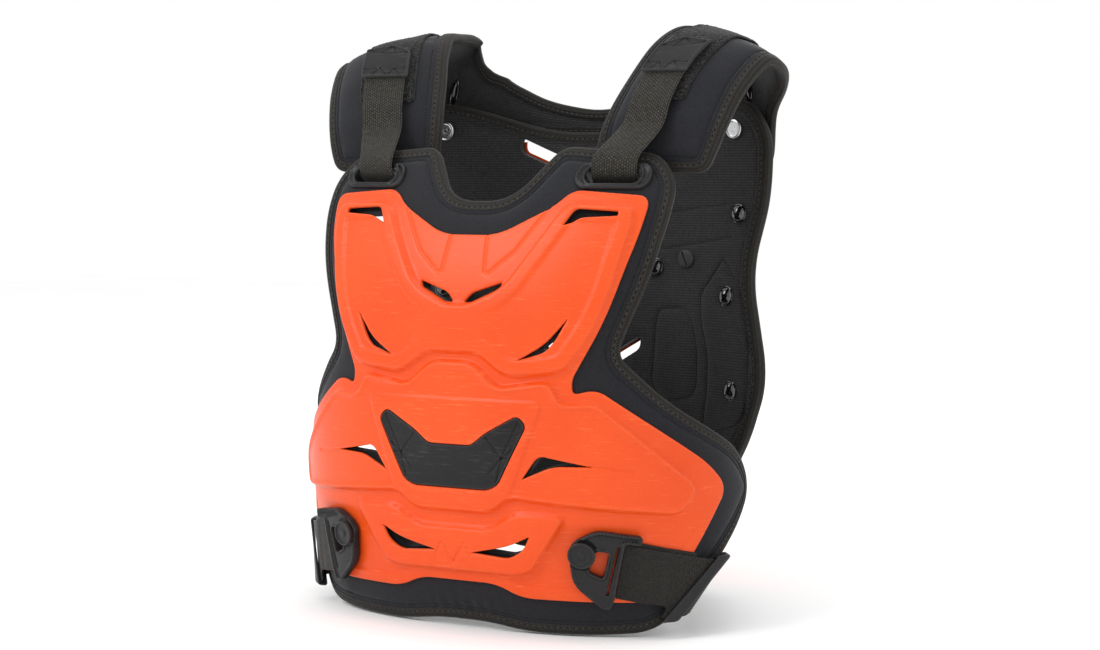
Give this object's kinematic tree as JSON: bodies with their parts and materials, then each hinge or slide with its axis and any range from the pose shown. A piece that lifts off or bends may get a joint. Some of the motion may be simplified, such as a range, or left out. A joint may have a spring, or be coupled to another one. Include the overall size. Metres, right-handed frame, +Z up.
{
  "type": "roost deflector",
  "caption": "Chest and back protector: vented moulded shells over foam pads, joined by a padded shoulder yoke, webbing shoulder straps and elastic waist straps.",
  "frame": {"origin": "where the wearer's shoulders carry it: midway between the shoulders, on the line of their tops", "axes": "+Z up the body, +X towards the wearer's left, +Y towards the wearer's back"},
  "size_m": [0.4256, 0.2772, 0.5001],
  "materials": {
    "shell": "moulded satin orange plastic",
    "pad_cover": "dark neoprene over foam, knit lining inside",
    "binding_tape": "woven tape, stitched",
    "webbing": "ribbed webbing",
    "elastic": "woven elastic",
    "loop_patch": "fuzzy loop",
    "badge_rubber": "moulded soft rubber",
    "black_fitting": "black moulded plastic",
    "clear_rivet": "clear plastic cap over a metal ring"
  },
  "bodies": {
    "root": {"front_pad": "pad_cover", "front_binding": "binding_tape", "front_shell": "shell", "badge": "badge_rubber", "back_pad": "pad_cover", "back_binding": "binding_tape", "back_shell": "shell", "shoulder_yoke": "pad_cover", "yoke_binding": "binding_tape", "left_grommet": "black_fitting", "right_grommet": "black_fitting", "left_loop_patch": "loop_patch", "right_loop_patch": "loop_patch", "left_shoulder_strap": "webbing", "right_shoulder_strap": "webbing", "left_strap_tab": "badge_rubber", "right_strap_tab": "badge_rubber", "left_buckle": "black_fitting", "right_buckle": "black_fitting", "left_buckle_stud": "black_fitting", "right_buckle_stud": "black_fitting", "left_waist_strap": "elastic", "right_waist_strap": "elastic", "left_slider": "black_fitting", "right_slider": "black_fitting", "left_dome_rivet_high": "black_fitting", "right_dome_rivet_high": "black_fitting", "left_dome_rivet_middle": "black_fitting", "right_dome_rivet_middle": "black_fitting", "left_dome_rivet_low": "black_fitting", "right_dome_rivet_low": "black_fitting", "left_dome_rivet_spine": "black_fitting", "right_dome_rivet_spine": "black_fitting", "left_dome_rivet_yoke": "black_fitting", "right_dome_rivet_yoke": "black_fitting", "left_clear_rivet": "clear_rivet", "right_clear_rivet": "clear_rivet", "left_slotted_screw": "black_fitting", "right_slotted_screw": "black_fitting"}
  },
  "joints": []
}
